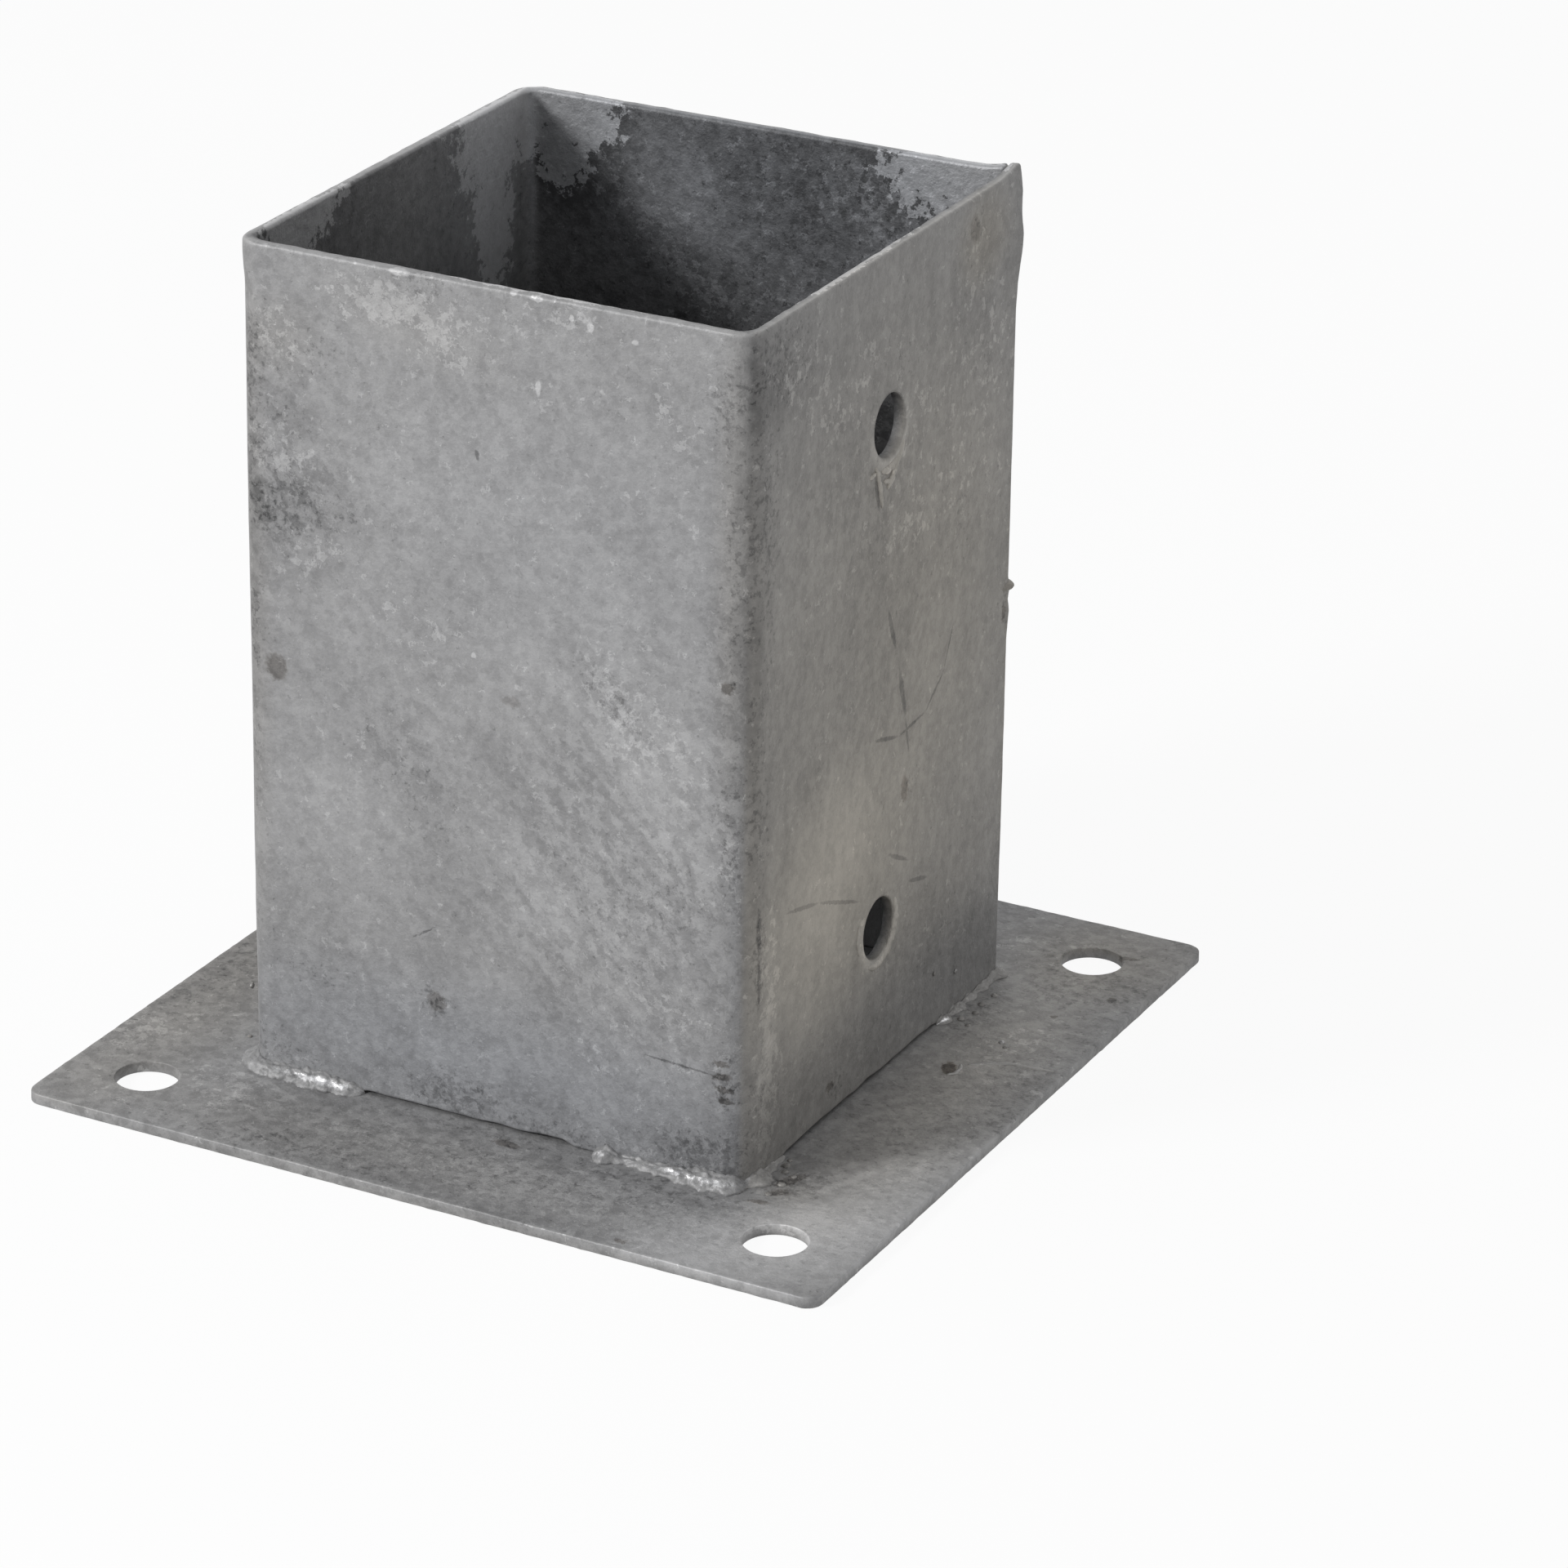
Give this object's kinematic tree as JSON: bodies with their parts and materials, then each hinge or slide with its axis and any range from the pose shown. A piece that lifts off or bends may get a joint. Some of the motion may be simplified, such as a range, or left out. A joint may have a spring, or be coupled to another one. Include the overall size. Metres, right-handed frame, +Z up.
{
  "type": "timber post base",
  "caption": "Galvanised bolt-down base for a square timber post: folded square sleeve, open on top, welded at its corners to a flat square plate with anchor holes.",
  "frame": {"origin": "centre of the base plate's underside", "axes": "+Z up along the post; the through bolts that hold the post pass along X; the sleeve's welded seam is at its +X +Y corner"},
  "size_m": [0.15, 0.15, 0.15],
  "materials": {
    "sleeve_zinc": "hot-dip galvanised, dull and cloudy",
    "plate_zinc": "hot-dip galvanised, dull and mottled",
    "weld_zinc": "weld metal under bright lumpy zinc"
  },
  "bodies": {
    "root": {"base_plate": "plate_zinc", "post_sleeve": "sleeve_zinc", "foot_weld_front_left": "weld_zinc", "foot_weld_front_right": "weld_zinc", "foot_weld_back_right": "weld_zinc", "foot_weld_back_left": "weld_zinc", "seam_weld_top": "weld_zinc", "seam_weld_middle": "weld_zinc"}
  },
  "joints": []
}
